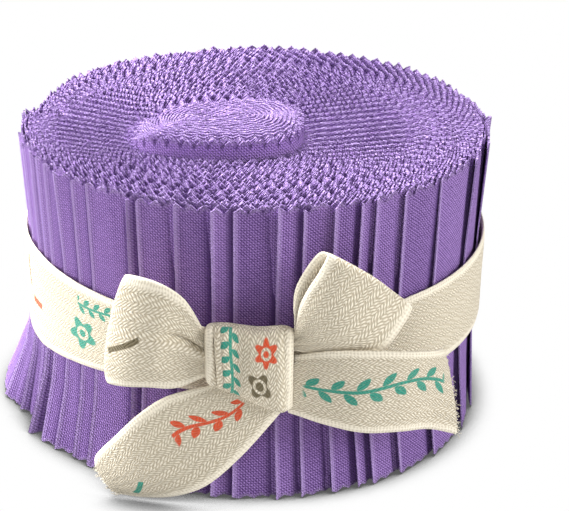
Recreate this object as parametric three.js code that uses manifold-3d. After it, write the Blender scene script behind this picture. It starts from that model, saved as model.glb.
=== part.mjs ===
// A bundle of pinked cotton strips, folded in half, rolled up and stood on its edge.
// A cotton tape is tied round its waist with a bow at the front.
// Millimetres, +Z up, +X to the right, the bow faces -Y. The origin is on the roll's axis, at its foot.

import * as THREE from "three";
import { mergeVertices } from "three/addons/utils/BufferGeometryUtils.js";
import Module from "manifold-3d";

const wasm = await Module();
wasm.setup();

// The roll
const stripWidth = 63.5;
const topRadius = 49.7;
const waistRadius = 48.5;
const footRadius = 51.8;
const flareHeight = 20;
const flareAngle = 190;
const flareReach = 4.4;
const flareSpread = 26;
const tuckAngle = 0;
const tuckDepth = 3.4;
const tuckSpread = 30;
const edgeWidth = 0.5;
const pressedShare = 0.45;

// The raised start of the roll, seen from above
const coreCentre = { x: -7.7, y: -10.4 };
const coreHalf = { x: 18.1, y: 14.2 };
const coreSquareness = 2.6;
const coreLift = 3.5;
const coreWallRun = 0.4;
const coreFootGap = 0.02;
const coreMiddleShare = 0.65;
const coreRiseStart = 192;
const coreRiseFull = 222;
const coreFallStart = 60;
const coreFallEnd = 100;

// The tape
const tapeThickness = 1;
const tapeClearance = 0.4;

// The grooves between the turns, which show on the top
const grooveWidth = 0.8;
const grooveDepth = 1.6;

// Each step of the wall is the end of one strip, which lies on the end of the next one
const frontSteps = [
  { angle: 190, step: 1.0 },
  { angle: 198.3, step: 0.9 },
  { angle: 204.8, step: 1.4 },
  { angle: 208.6, step: 1.0 },
  { angle: 213.2, step: 1.7 },
  { angle: 218.4, step: 0.7 },
  { angle: 224.4, step: 0.7 },
  { angle: 229.6, step: 0.8 },
  { angle: 240.8, step: 0.7 },
  { angle: 243.6, step: 1.0 },
  { angle: 252.6, step: 0.8 },
  { angle: 261, step: 0.8 },
  { angle: 266, step: 0.9 },
  { angle: 275.8, step: 1.0 },
  { angle: 281.5, step: 1.0 },
  { angle: 288.4, step: 1.1 },
  { angle: 294.9, step: 0.9 },
  { angle: 298.8, step: 0.9 },
  { angle: 306.7, step: 0.8 },
  { angle: 318.5, step: 0.8 },
];
const backStepCount = 20;
const backStepHeight = 0.8;
const backStepDrift = 1.3;
const backStepWave = 2.4;

// Height of each level of the wall, its radius, and how much of the foot's flare it has
const wallLevels = [
  { z: 0, radius: footRadius, flare: 1 },
  { z: 3, radius: 51.2, flare: 0.86 },
  { z: 8, radius: 50.3, flare: 0.58 },
  { z: 14, radius: 49.3, flare: 0.27 },
  { z: flareHeight, radius: waistRadius, flare: 0 },
  { z: 31, radius: waistRadius, flare: 0 },
  { z: 42, radius: 48.8, flare: 0 },
  { z: 51, radius: 49.6, flare: 0 },
  { z: stripWidth, radius: topRadius, flare: 0 },
];

// The tape's lower and upper edge round the waist
const bandEdges = [
  { angle: 0, low: 20.2, high: 40.4 },
  { angle: 90, low: 20.4, high: 40.8 },
  { angle: 160, low: 20, high: 41.2 },
  { angle: 190, low: 19, high: 41.2 },
  { angle: 207, low: 19.5, high: 41 },
  { angle: 222, low: 21.2, high: 40.2 },
  { angle: 236, low: 22.4, high: 39.4 },
  { angle: 270, low: 23, high: 38.6 },
  { angle: 310, low: 21.6, high: 39.6 },
];

// Where the groove between the turns runs: the angle from above, clockwise from the core's left tip,
// and its share of the way from the core's edge to the rim
const grooveRoute = [
  { angle: 200, share: 0.05 },
  { angle: 150, share: 0.17 },
  { angle: 110, share: 0.29 },
  { angle: 0, share: 0.33 },
  { angle: -90, share: 0.52 },
  { angle: -155, share: 0.52 },
  { angle: -250, share: 0.58 },
  { angle: -360, share: 0.67 },
  { angle: -430, share: 0.9 },
];
const grooveSegments = 64;

// The seam in the middle of the core, from the hole at its first bend to its left end
const seamRoute = [
  { x: -1.2, y: -8 },
  { x: -6, y: -9.4 },
  { x: -11, y: -11 },
  { x: -17, y: -12 },
];

// Rows of the bow's pieces: the tape's lower edge, middle and upper edge at each section
const loopLeftRows = [
  { low: [-9.1, -53.6, 28.6], mid: [-9.1, -54.4, 34.4], high: [-9.1, -53.7, 39.2] },
  { low: [-14.4, -55.4, 27.2], mid: [-13.6, -55.6, 36.6], high: [-12.4, -56.2, 45.6] },
  { low: [-19.7, -55.4, 27.3], mid: [-18.4, -57.6, 38], high: [-16.6, -57.2, 48.8] },
  { low: [-25.4, -53.8, 26.6], mid: [-24.6, -56.4, 38], high: [-20.6, -56.6, 50] },
  { low: [-29, -51.2, 25.8], mid: [-29.2, -52.8, 38], high: [-23.4, -54.6, 49.6] },
  { low: [-27.8, -49.2, 26], mid: [-27.8, -50, 38], high: [-22.6, -52.6, 49.2] },
  { low: [-22, -50.2, 27], mid: [-21.6, -50.8, 38], high: [-18, -51.8, 48.4] },
  { low: [-14, -51.2, 28.4], mid: [-14, -51.4, 36.6], high: [-12.6, -51.8, 44.6] },
  { low: [-9.1, -51.3, 30], mid: [-9.1, -51.5, 34.6], high: [-9.1, -51.5, 38.8] },
];
const loopRightRows = [
  { low: [9.4, -53.6, 35], mid: [9, -54.4, 37.3], high: [9, -53.6, 39.6] },
  { low: [19, -53.4, 33.6], mid: [13.9, -56.3, 40], high: [9.6, -55.2, 45.2] },
  { low: [25.6, -53, 34.6], mid: [17.7, -57, 43.2], high: [11, -55.9, 49] },
  { low: [29.5, -51.5, 39.2], mid: [21, -55.8, 47.6], high: [13.3, -55.6, 53] },
  { low: [31.4, -49.9, 42.7], mid: [23.2, -53.6, 50.2], high: [14.6, -54.6, 55.8] },
  { low: [30.4, -48.2, 41.8], mid: [22.2, -51.6, 49.6], high: [13.2, -52.8, 55.4] },
  { low: [24.6, -50.2, 35.8], mid: [16.2, -52, 43.6], high: [9, -52.4, 48.4] },
  { low: [17.6, -51, 34.8], mid: [12.6, -51.8, 40.2], high: [8.4, -51.9, 43.8] },
  { low: [9.4, -51.4, 35.6], mid: [9, -51.6, 37.4], high: [9, -51.5, 39.2] },
];
const tailLeftRows = [
  { low: [6.3, -54.2, 21.5], mid: [-1.2, -54.5, 24.6], high: [-7.8, -54.2, 27.2] },
  { low: [-1.8, -55, 11.4], mid: [-8.8, -55.8, 18], high: [-16.2, -55, 25] },
  { low: [-8.8, -54.9, 4.6], mid: [-15.6, -55.6, 12.4], high: [-21.8, -54.8, 20.8] },
  { low: [-14.8, -54.1, 1.8], mid: [-20.6, -54.9, 8.6], high: [-26.2, -53.2, 15.4] },
  { low: [-21, -53.1, 0.8], mid: [-25.2, -53, 5], high: [-31, -50.2, 8.4] },
  { low: [-25.4, -52, 0.8], mid: [-28.4, -51.4, 3.3], high: [-31.2, -49.8, 6.3] },
];
const tailRightRows = [
  { low: [9.2, -53.6, 20.6], mid: [9.2, -54.6, 28], high: [9.2, -53.8, 34] },
  { low: [15, -54.8, 19.2], mid: [15, -55.6, 28], high: [15, -55.6, 35.8] },
  { low: [22.4, -55, 17.6], mid: [22.4, -56, 27.4], high: [22, -55.9, 36.2] },
  { low: [30, -52.6, 16.6], mid: [30.4, -53.6, 26.6], high: [31, -53.6, 35] },
  { low: [36, -48.6, 15], mid: [36.2, -49.6, 24.8], high: [36.4, -49.6, 33.2] },
  { low: [42, -45, 11.8], mid: [40.6, -46.2, 22.4], high: [38, -46.6, 32.2] },
];
const sheetSteps = 20;
const sheetStrips = 3;

// Sections of the knot, from its left side to its right side
const knotSections = [
  { x: -8.6, low: 29, high: 39.4, front: -55.4, back: -51.6 },
  { x: -7.6, low: 27.7, high: 40.4, front: -57.2, back: -51.1 },
  { x: -4.6, low: 26.6, high: 40.6, front: -57.9, back: -50.9 },
  { x: -2.4, low: 25.6, high: 40.2, front: -57, back: -50.9 },
  { x: 2, low: 23.6, high: 39.9, front: -58, back: -50.9 },
  { x: 6.6, low: 21.9, high: 40.3, front: -57.6, back: -51.1 },
  { x: 8.5, low: 22.4, high: 39.6, front: -55.6, back: -51.6 },
];
const knotCorners = 12;
const knotSquareness = 3;

const stripCotton = new THREE.MeshStandardMaterial({ color: 0x8c63c3, roughness: 0.95, metalness: 0 });
const tapeCotton = new THREE.MeshStandardMaterial({ color: 0xece3cf, roughness: 0.9, metalness: 0 });

const group = new THREE.Group();

function radians(degrees) {
  return (degrees * Math.PI) / 180;
}

function bump(angle, centre, spread) {
  const away = THREE.MathUtils.euclideanModulo(angle - centre + 180, 360) - 180;
  return Math.exp(-((away / spread) ** 2));
}

// Value of a column at a place between the rows of a table
function between(rows, key, value, place) {
  const next = rows.findIndex((row) => (rows.at(-1)[key] > rows[0][key] ? row[key] >= place : row[key] <= place));
  if (next === -1) {
    return rows.at(-1)[value];
  }
  if (next === 0) {
    return rows[0][value];
  }
  const before = rows[next - 1];
  const after = rows[next];
  return THREE.MathUtils.mapLinear(place, before[key], after[key], before[value], after[value]);
}

function triangleMesh(points, faces) {
  const geometry = new THREE.BufferGeometry();
  geometry.setAttribute("position", new THREE.Float32BufferAttribute(points.flat(), 3));
  geometry.setIndex(faces.flat());
  let volume = 0;
  for (const [a, b, c] of faces) {
    const cross = new THREE.Vector3(...points[b]).cross(new THREE.Vector3(...points[c]));
    volume += new THREE.Vector3(...points[a]).dot(cross);
  }
  if (volume < 0) {
    geometry.setIndex(faces.map(([a, b, c]) => [a, c, b]).flat());
  }
  return geometry;
}

// Joins closed sections, each with the same number of points, into one solid
function joinSections(sections, ends) {
  const size = sections[0].length;
  const points = sections.flat();
  const faces = [];
  const spans = ends === "loop" ? sections.length : sections.length - 1;
  for (let i = 0; i < spans; i += 1) {
    const here = i * size;
    const there = ((i + 1) % sections.length) * size;
    for (let k = 0; k < size; k += 1) {
      const next = (k + 1) % size;
      faces.push([here + k, here + next, there + k]);
      faces.push([here + next, there + next, there + k]);
    }
  }
  const capEnd = (start, turned) => {
    const face = (a, b, c) => faces.push(turned ? [a, c, b] : [a, b, c]);
    if (ends === "strip") {
      for (let k = 0; k < size / 2 - 1; k += 1) {
        face(start + k, start + size - 1 - k, start + k + 1);
        face(start + k + 1, start + size - 1 - k, start + size - 2 - k);
      }
      return;
    }
    const middle = points.length;
    const sum = [0, 0, 0];
    for (let k = 0; k < size; k += 1) {
      points[start + k].forEach((value, axis) => (sum[axis] += value / size));
    }
    points.push(sum);
    for (let k = 0; k < size; k += 1) {
      face(middle, start + ((k + 1) % size), start + k);
    }
  };
  if (ends !== "loop") {
    capEnd(0, false);
    capEnd((sections.length - 1) * size, true);
  }
  return triangleMesh(points, faces);
}

function toManifold(geometry) {
  const clean = geometry.clone();
  clean.deleteAttribute("normal");
  clean.deleteAttribute("uv");
  const merged = mergeVertices(clean, 1e-5);
  return new wasm.Manifold(
    new wasm.Mesh({
      numProp: 3,
      vertProperties: Float32Array.from(merged.attributes.position.array),
      triVerts: Uint32Array.from(merged.index.array),
    }),
  );
}

function fromManifold(solid) {
  const cut = solid.getMesh();
  const geometry = new THREE.BufferGeometry();
  geometry.setAttribute("position", new THREE.Float32BufferAttribute(cut.vertProperties, 3));
  geometry.setIndex(Array.from(cut.triVerts));
  return geometry;
}

function addPiece(name, geometry, material) {
  const mesh = new THREE.Mesh(geometry, material.clone());
  mesh.name = name;
  group.add(mesh);
}

// All the steps of the wall, once round
function wallSteps() {
  const first = frontSteps[0].angle;
  const last = frontSteps.at(-1).angle;
  const spacing = (first + 360 - last) / (backStepCount + 1);
  const steps = [...frontSteps];
  for (let k = 1; k <= backStepCount; k += 1) {
    steps.push({ angle: last + k * spacing + backStepDrift * Math.sin(backStepWave * k), step: backStepHeight });
  }
  return steps;
}

// Places round the wall, each with its height over or under the smooth wall: a strip's end stands
// half a step over it, and the strip has sunk half the next step under it where the next one ends
function wallColumns() {
  const steps = wallSteps();
  const columns = [];
  steps.forEach((row, k) => {
    const following = steps[(k + 1) % steps.length];
    const nextAngle = following.angle + (k + 1 === steps.length ? 360 : 0);
    columns.push({ angle: row.angle - edgeWidth / 2, rise: -row.step / 2 });
    columns.push({ angle: row.angle + edgeWidth / 2, rise: row.step / 2 });
    if (nextAngle - row.angle > 5) {
      columns.push({ angle: (row.angle + nextAngle) / 2, rise: (row.step - following.step) / 4 });
    }
  });
  return columns;
}

function wallRadius(angle, z) {
  const flare = between(wallLevels, "z", "flare", z);
  const reach = flareReach * bump(angle, flareAngle, flareSpread) - tuckDepth * bump(angle, tuckAngle, tuckSpread);
  return between(wallLevels, "z", "radius", z) + flare * reach;
}

function polarPoint(angle, radius, z) {
  return [radius * Math.cos(radians(angle)), radius * Math.sin(radians(angle)), z];
}

// A point of the core's outline, seen from above, drawn in by a distance
function corePoint(angle, inset, share) {
  const c = Math.cos(radians(angle));
  const s = Math.sin(radians(angle));
  const a = (coreHalf.x - inset) * share;
  const b = (coreHalf.y - inset) * share;
  const size = (Math.abs(c / a) ** coreSquareness + Math.abs(s / b) ** coreSquareness) ** (-1 / coreSquareness);
  return [coreCentre.x + size * c, coreCentre.y + size * s];
}

// The core stands proud at the front, right and back, and runs down to the other turns at the left
function coreRise(angle) {
  const leftSide = THREE.MathUtils.euclideanModulo(angle, 360);
  if (leftSide <= coreFallEnd) {
    return coreLift * THREE.MathUtils.smoothstep(coreFallEnd - leftSide, 0, coreFallEnd - coreFallStart);
  }
  return coreLift * THREE.MathUtils.smoothstep(leftSide, coreRiseStart, coreRiseFull);
}

function blend(first, second, share) {
  return [first[0] + (second[0] - first[0]) * share, first[1] + (second[1] - first[1]) * share];
}

function rollSolid() {
  const columns = wallColumns();
  const sections = wallLevels.map((level) => {
    const pressed = level.radius < waistRadius + 0.5 ? pressedShare : 1;
    return columns.map(({ angle, rise }) => {
      return polarPoint(angle, wallRadius(angle, level.z) + rise * pressed, level.z);
    });
  });
  const rim = sections.at(-1);
  const halfway = columns.map(({ angle }, k) => {
    return [...blend(rim[k], corePoint(angle, 0, 1), 0.5), stripWidth];
  });
  const coreFoot = columns.map(({ angle }) => [...corePoint(angle, 0, 1), stripWidth]);
  const coreTop = columns.map(({ angle }) => {
    return [...corePoint(angle, coreWallRun, 1), stripWidth + coreFootGap + coreRise(angle)];
  });
  const coreInner = columns.map(({ angle }) => {
    const rise = THREE.MathUtils.lerp(coreLift, coreRise(angle), coreMiddleShare);
    return [...corePoint(angle, coreWallRun, 0.5), stripWidth + rise];
  });
  return joinSections([...sections, halfway, coreFoot, coreTop, coreInner], "fan");
}

// A thin wall that follows a route over the top, to be cut away
function grooveCutter(route) {
  const sections = route.map((place, k) => {
    const before = route[Math.max(k - 1, 0)];
    const after = route[Math.min(k + 1, route.length - 1)];
    const length = Math.hypot(after.x - before.x, after.y - before.y);
    const acrossX = (-(after.y - before.y) / length) * (grooveWidth / 2);
    const acrossY = ((after.x - before.x) / length) * (grooveWidth / 2);
    const top = stripWidth + 2 * coreLift;
    return [
      [place.x - acrossX, place.y - acrossY, place.bottom],
      [place.x - acrossX, place.y - acrossY, top],
      [place.x + acrossX, place.y + acrossY, top],
      [place.x + acrossX, place.y + acrossY, place.bottom],
    ];
  });
  return toManifold(joinSections(sections, "strip"));
}

function turnGroove() {
  const knots = grooveRoute.map(({ angle, share }) => new THREE.Vector2(angle, share));
  const curve = new THREE.SplineCurve(knots);
  const route = curve.getPoints(grooveSegments).map((knot) => {
    const edge = corePoint(knot.x, 0, 1);
    const rim = polarPoint(knot.x, topRadius, 0);
    const [x, y] = blend(edge, rim, knot.y);
    return { x, y, bottom: stripWidth - grooveDepth };
  });
  return grooveCutter(route);
}

function coreSeam() {
  const knots = seamRoute.map(({ x, y }) => new THREE.Vector2(x, y));
  const route = new THREE.SplineCurve(knots).getPoints(8).map(({ x, y }) => {
    return { x, y, bottom: stripWidth + coreLift / 3 };
  });
  return grooveCutter(route);
}

// The tape round the waist follows the wall, a little clear of its steps
function bandSolid() {
  const proud = tapeClearance + (pressedShare * Math.max(...frontSteps.map(({ step }) => step))) / 2;
  const rows = [...bandEdges, { ...bandEdges[0], angle: 360 }];
  const sectionCount = 64;
  const sections = [];
  for (let k = 0; k < sectionCount; k += 1) {
    const angle = (k * 360) / sectionCount;
    const low = between(rows, "angle", "low", angle);
    const high = between(rows, "angle", "high", angle);
    const levels = [low, (low + high) / 2, high];
    const inner = levels.map((z) => polarPoint(angle, wallRadius(angle, z) + proud, z));
    const outer = levels.map((z) => polarPoint(angle, wallRadius(angle, z) + proud + tapeThickness, z));
    sections.push([...inner, ...outer.reverse()]);
  }
  return joinSections(sections, "loop");
}

// A bent piece of tape from rows of its lower edge, middle and upper edge
function tapeSolid(rows) {
  const lines = ["low", "mid", "high"].map((key) => {
    return new THREE.CatmullRomCurve3(rows.map((row) => new THREE.Vector3(...row[key])), false, "centripetal");
  });
  const surface = (along, across) => {
    const [low, mid, high] = lines.map((line) => line.getPoint(THREE.MathUtils.clamp(along, 0, 1)));
    const point = low.multiplyScalar((1 - across) * (1 - 2 * across));
    point.addScaledVector(mid, 4 * across * (1 - across));
    return point.addScaledVector(high, across * (2 * across - 1));
  };
  const nudge = 0.01;
  const sections = [];
  for (let i = 0; i <= sheetSteps; i += 1) {
    const along = i / sheetSteps;
    const near = [];
    const far = [];
    for (let k = 0; k <= sheetStrips; k += 1) {
      const across = k / sheetStrips;
      const forward = surface(Math.min(along + nudge, 1), across).sub(surface(Math.max(along - nudge, 0), across));
      const sideways = surface(along, across + nudge).sub(surface(along, across - nudge));
      const offset = forward.cross(sideways).setLength(tapeThickness / 2);
      near.push(surface(along, across).add(offset).toArray());
      far.push(surface(along, across).sub(offset).toArray());
    }
    sections.push([...near, ...far.reverse()]);
  }
  return joinSections(sections, "strip");
}

function knotSolid() {
  const sections = knotSections.map(({ x, low, high, front, back }) => {
    const ring = [];
    for (let k = 0; k < knotCorners; k += 1) {
      const turn = (k * 2 * Math.PI) / knotCorners;
      const c = Math.cos(turn);
      const s = Math.sin(turn);
      const size = (Math.abs(c) ** knotSquareness + Math.abs(s) ** knotSquareness) ** (-1 / knotSquareness);
      const y = (front + back) / 2 + ((front - back) / 2) * size * c;
      const z = (low + high) / 2 + ((high - low) / 2) * size * s;
      ring.push([x, y, z]);
    }
    return ring;
  });
  return joinSections(sections, "fan");
}

const roll = toManifold(rollSolid()).subtract(turnGroove()).subtract(coreSeam());
addPiece("strip_roll", fromManifold(roll), stripCotton);
addPiece("tie_band", bandSolid(), tapeCotton);
addPiece("bow_knot", knotSolid(), tapeCotton);
addPiece("bow_loop_left", tapeSolid(loopLeftRows), tapeCotton);
addPiece("bow_loop_right", tapeSolid(loopRightRows), tapeCotton);
addPiece("bow_tail_left", tapeSolid(tailLeftRows), tapeCotton);
addPiece("bow_tail_right", tapeSolid(tailRightRows), tapeCotton);

export default group;
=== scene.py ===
# A rolled bundle of pinked cotton strips, tied round its waist with a herringbone tape in a bow.
# Metres, +Z up, +X to the right, the bow faces -Y. The origin is on the roll's axis, at its foot.

from math import pi, radians

import bpy
import numpy as np
from mathutils import Matrix, Vector


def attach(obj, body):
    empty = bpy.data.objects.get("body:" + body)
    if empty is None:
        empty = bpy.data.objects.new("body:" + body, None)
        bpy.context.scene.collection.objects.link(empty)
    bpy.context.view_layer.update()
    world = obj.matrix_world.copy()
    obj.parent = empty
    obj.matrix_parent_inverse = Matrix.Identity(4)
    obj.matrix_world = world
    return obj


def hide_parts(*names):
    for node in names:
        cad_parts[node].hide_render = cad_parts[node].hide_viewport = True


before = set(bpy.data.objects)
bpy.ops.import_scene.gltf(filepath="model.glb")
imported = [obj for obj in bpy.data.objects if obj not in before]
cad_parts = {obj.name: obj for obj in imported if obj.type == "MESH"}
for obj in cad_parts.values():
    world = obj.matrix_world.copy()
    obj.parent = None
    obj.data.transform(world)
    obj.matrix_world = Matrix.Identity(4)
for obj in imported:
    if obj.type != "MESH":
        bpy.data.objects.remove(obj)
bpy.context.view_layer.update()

mm = 0.001
scene = bpy.context.scene
print("frame loaded:", len(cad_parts), "nodes")


def addNode(tree, kind, inputs=None, **settings):
    node = tree.nodes.new(kind)
    for name, value in settings.items():
        setattr(node, name, value)
    for key, value in (inputs or {}).items():
        if isinstance(value, bpy.types.NodeSocket):
            tree.links.new(value, node.inputs[key])
        else:
            node.inputs[key].default_value = value
    return node


def treeOf(*values):
    return next(value.id_data for value in values if isinstance(value, bpy.types.NodeSocket))


# Makes a function that adds a Math node of one kind to the tree that its values come from
def maths(operation):
    def combine(*values, clamp=False):
        node = addNode(treeOf(*values), "ShaderNodeMath", dict(enumerate(values)), operation=operation)
        node.use_clamp = clamp
        return node.outputs[0]

    return combine


plus, minus, times, divide, timesPlus = map(maths, ("ADD", "SUBTRACT", "MULTIPLY", "DIVIDE", "MULTIPLY_ADD"))
sine, cosine, absolute, power = map(maths, ("SINE", "COSINE", "ABSOLUTE", "POWER"))
fraction, wholePart, greatest, signOf = map(maths, ("FRACT", "FLOOR", "MAXIMUM", "SIGN"))


def vectorCalc(operation, first, second, output=0):
    inputs = {0: first, "Scale" if operation == "SCALE" else 1: second}
    return addNode(treeOf(first), "ShaderNodeVectorMath", inputs, operation=operation).outputs[output]


def mapRange(value, fromLow, fromHigh, toLow=0.0, toHigh=1.0, kind="SMOOTHSTEP"):
    inputs = {"Value": value, "From Min": fromLow, "From Max": fromHigh, "To Min": toLow, "To Max": toHigh}
    return addNode(treeOf(value), "ShaderNodeMapRange", inputs, interpolation_type=kind).outputs["Result"]


def mixColour(share, first, second):
    inputs = {0: share, 6: first, 7: second}
    return addNode(treeOf(share), "ShaderNodeMix", inputs, data_type="RGBA").outputs[2]


def mixValue(share, first, second):
    return addNode(treeOf(first), "ShaderNodeMix", {0: share, 2: first, 3: second}).outputs[0]


def splitXYZ(vector):
    return addNode(treeOf(vector), "ShaderNodeSeparateXYZ", {0: vector}).outputs


def joinXYZ(x, y, z):
    return addNode(treeOf(x, y, z), "ShaderNodeCombineXYZ", {0: x, 1: y, 2: z}).outputs[0]


def splitTurned(vector, angle):
    inputs = {"Vector": vector, "Angle": angle}
    turned = addNode(treeOf(vector), "ShaderNodeVectorRotate", inputs, rotation_type="Z_AXIS")
    return splitXYZ(turned.outputs[0])


def noiseAt(place, scale, detail, output="Fac"):
    inputs = {"Vector": place, "Scale": scale, "Detail": detail}
    return addNode(treeOf(place), "ShaderNodeTexNoise", inputs).outputs[output]


# A value that the mesh carries, as a material reads it and as Geometry Nodes read it
def meshValue(tree, name):
    return addNode(tree, "ShaderNodeAttribute", attribute_name=name).outputs["Fac"]


def stored(tree, name, kind="FLOAT"):
    node = addNode(tree, "GeometryNodeInputNamedAttribute", {"Name": name}, data_type=kind)
    return node.outputs["Attribute"]


# A Geometry Nodes step whose first input is the geometry that it changes
def changed(kind, geometry, inputs=None, **settings):
    inputs = {0: geometry, **(inputs or {})}
    return addNode(treeOf(geometry), "GeometryNode" + kind, inputs, **settings).outputs[0]


def link(source, target):
    treeOf(source).links.new(source, target)


def newTree(name, kind, inputs, outputs):
    tree = bpy.data.node_groups.new(name, kind)
    for label, socketType, value in inputs:
        socket = tree.interface.new_socket(name=label, in_out="INPUT", socket_type=socketType)
        if value is not None:
            socket.default_value = value
    for label, socketType in outputs:
        tree.interface.new_socket(name=label, in_out="OUTPUT", socket_type=socketType)
    return tree, tree.nodes.new("NodeGroupInput").outputs, tree.nodes.new("NodeGroupOutput").inputs


def fillGroup(tree, group, inputs):
    return addNode(tree, "ShaderNodeGroup", inputs, node_tree=group).outputs


# The camera stands where the photograph was taken from
cameraValues = {
    "place": (6.53 * mm, -367.63 * mm, 197.98 * mm),
    "tilt": 24.47,
    "roll": 0.845,
    "lens": 115.2,
}


def makeCamera(values):
    data = bpy.data.cameras.new("camera")
    data.lens = values["lens"]
    data.sensor_width = 36
    data.clip_start = 0.01
    camera = bpy.data.objects.new("camera", data)
    scene.collection.objects.link(camera)
    tilted = Matrix.Rotation(pi / 2 - radians(values["tilt"]), 4, "X")
    rolled = Matrix.Rotation(radians(values["roll"]), 4, "Z")
    camera.matrix_world = Matrix.Translation(values["place"]) @ tilted @ rolled
    scene.camera = camera


# Soft boxes: where each stands, its width and its watts. The world fills the shadows
lightValues = {
    "above": {"place": (-0.20, 0.26, 0.56), "width": 0.32, "power": 11.2},
    "left": {"place": (-0.62, 0.03, 0.17), "width": 0.30, "power": 6.9},
    "right": {"place": (0.58, -0.20, 0.28), "width": 0.30, "power": 3.0},
    "front": {"place": (-0.10, -0.70, 0.42), "width": 0.40, "power": 1.3},
}
worldLight = 0.22
lightAim = (0, 0, 0.03)


def makeLights(values):
    for name, light in values.items():
        data = bpy.data.lights.new(name, "AREA")
        data.size = light["width"]
        data.energy = light["power"]
        lamp = bpy.data.objects.new(name, data)
        scene.collection.objects.link(lamp)
        lamp.location = light["place"]
        lamp.rotation_euler = (Vector(lightAim) - lamp.location).to_track_quat("-Z", "Y").to_euler()
    world = bpy.data.worlds.new("studio")
    scene.world = world
    world.use_nodes = True
    tree = world.node_tree
    tree.nodes.clear()
    seen = addNode(tree, "ShaderNodeLightPath").outputs["Is Camera Ray"]
    strength = mapRange(seen, 0, 1, worldLight, 1, "LINEAR")
    back = addNode(tree, "ShaderNodeBackground", {"Color": (1, 1, 1, 1), "Strength": strength})
    addNode(tree, "ShaderNodeOutputWorld", {"Surface": back.outputs[0]})


# White paper that glows evenly, with a painted soft shadow close under the cloth: the glow dims where the
# cloth is near
floorValues = {"halfSize": 2.0, "shadowReach": 10 * mm, "dark": (0.45, 0.1), "bright": (0.85, 1.0)}


def makeFloor(values):
    mesh = bpy.data.meshes.new("floor")
    size = values["halfSize"]
    corners = [(-size, -size), (size, -size), (size, size), (-size, size)]
    mesh.from_pydata([(x, y, -0.1 * mm) for x, y in corners], [], [(0, 1, 2, 3)])
    floor = bpy.data.objects.new("floor", mesh)
    scene.collection.objects.link(floor)
    material = bpy.data.materials.new("floorPaper")
    material.use_nodes = True
    tree = material.node_tree
    tree.nodes.clear()
    reach = {"Distance": values["shadowReach"]}
    # painted shadow: the nearer the cloth, the weaker the floor's glow
    openness = addNode(tree, "ShaderNodeAmbientOcclusion", reach, samples=12).outputs["AO"]
    (darkAt, dark), (brightAt, bright) = values["dark"], values["bright"]
    strength = mapRange(openness, darkAt, brightAt, dark, bright)
    glow = addNode(tree, "ShaderNodeEmission", {"Strength": strength})
    addNode(tree, "ShaderNodeOutputMaterial", {"Surface": glow.outputs[0]})
    mesh.materials.append(material)


makeCamera(cameraValues)
makeLights(lightValues)
makeFloor(floorValues)
scene.view_settings.view_transform = "Standard"
print("camera, light and floor are set")


# Plain weave: a raised dot where a thread crosses over, slanted ribs across the dots, and slubs
def makeWeaveGroup():
    inputs = [("Place", "NodeSocketVector", None), ("Thread pitch", "NodeSocketFloat", 0.52)]
    inputs += [("Rib crowding", "NodeSocketFloat", 0.73), ("Rib share", "NodeSocketFloat", 0.4)]
    outputs = [("Height", "NodeSocketFloat"), ("Slub", "NodeSocketFloat")]
    tree, given, out = newTree("plainWeave", "ShaderNodeTree", inputs, outputs)
    x, y, _ = splitXYZ(vectorCalc("SCALE", given["Place"], divide(pi, given["Thread pitch"])))
    crossing = times(sine(x), sine(y))
    dots = power(absolute(crossing), 0.6)
    slant = cosine(times(minus(x, y), given["Rib crowding"]))
    ribs = times(slant, slant)
    over = mapRange(crossing, -0.2, 0.2, 0.7, 1.0)
    stretched = vectorCalc("MULTIPLY", given["Place"], (0.35, 2.2, 1))
    slub = noiseAt(stretched, 1.0, 3.0)
    link(mixValue(given["Rib share"], times(dots, over), ribs), out["Height"])
    link(slub, out["Slub"])
    return tree


# Herringbone twill: slanted threads that turn at each column, with a firm edge on both sides
def makeHerringboneGroup():
    inputs = [
        ("Place", "NodeSocketVector", None),
        ("Tape width", "NodeSocketFloat", 21.0),
        ("Column width", "NodeSocketFloat", 1.55),
        ("Thread pitch", "NodeSocketFloat", 0.9),
        ("Slope", "NodeSocketFloat", 1.25),
        ("Wander", "NodeSocketFloat", 0.9),
        ("Row shift", "NodeSocketFloat", 0.37),
    ]
    outputs = [("Height", "NodeSocketFloat"), ("Tone", "NodeSocketFloat")]
    tree, given, out = newTree("herringbone", "ShaderNodeTree", inputs, outputs)
    noise = noiseAt(given["Place"], 0.45, 2.0, "Color")
    wander = vectorCalc("SCALE", vectorCalc("SUBTRACT", noise, (0.5, 0.5, 0.5)), given["Wander"])
    x, y, _ = splitXYZ(vectorCalc("ADD", given["Place"], wander))
    column = divide(y, given["Column width"])
    fromMiddle = minus(fraction(column), 0.5)
    odd = maths("FLOORED_MODULO")(wholePart(column), 2.0)
    side = timesPlus(odd, -2.0, 1.0)
    reach = times(given["Column width"], given["Slope"])
    slant = times(times(fromMiddle, side), reach)
    thread = divide(plus(x, slant), given["Thread pitch"])
    wave = timesPlus(cosine(times(thread, 2 * pi)), 0.5, 0.5)
    row = wholePart(plus(thread, 0.5))
    beadPlace = timesPlus(fromMiddle, 2.0, times(row, given["Row shift"]))
    bead = timesPlus(cosine(times(beadPlace, 2 * pi)), 0.36, 0.64)
    border = mapRange(absolute(fromMiddle), 0.42, 0.5, 0.0, 0.2)
    twill = minus(times(power(wave, 0.75), bead), border)
    half = times(given["Tape width"], 0.5)
    fromEdge = minus(half, absolute(minus(y, half)))
    ribs = timesPlus(cosine(times(x, 2 * pi / 0.7)), 0.14, 0.6)
    lines = times(cosine(times(y, 2 * pi / 0.8)), 0.14)
    edge = mapRange(fromEdge, 1.1, 2.1, 1.0, 0.0)
    inner = times(twill, minus(1.0, edge))
    tone = noiseAt(given["Place"], 2.6, 4.0)
    link(timesPlus(plus(ribs, lines), edge, inner), out["Height"])
    link(tone, out["Tone"])
    return tree


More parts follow.
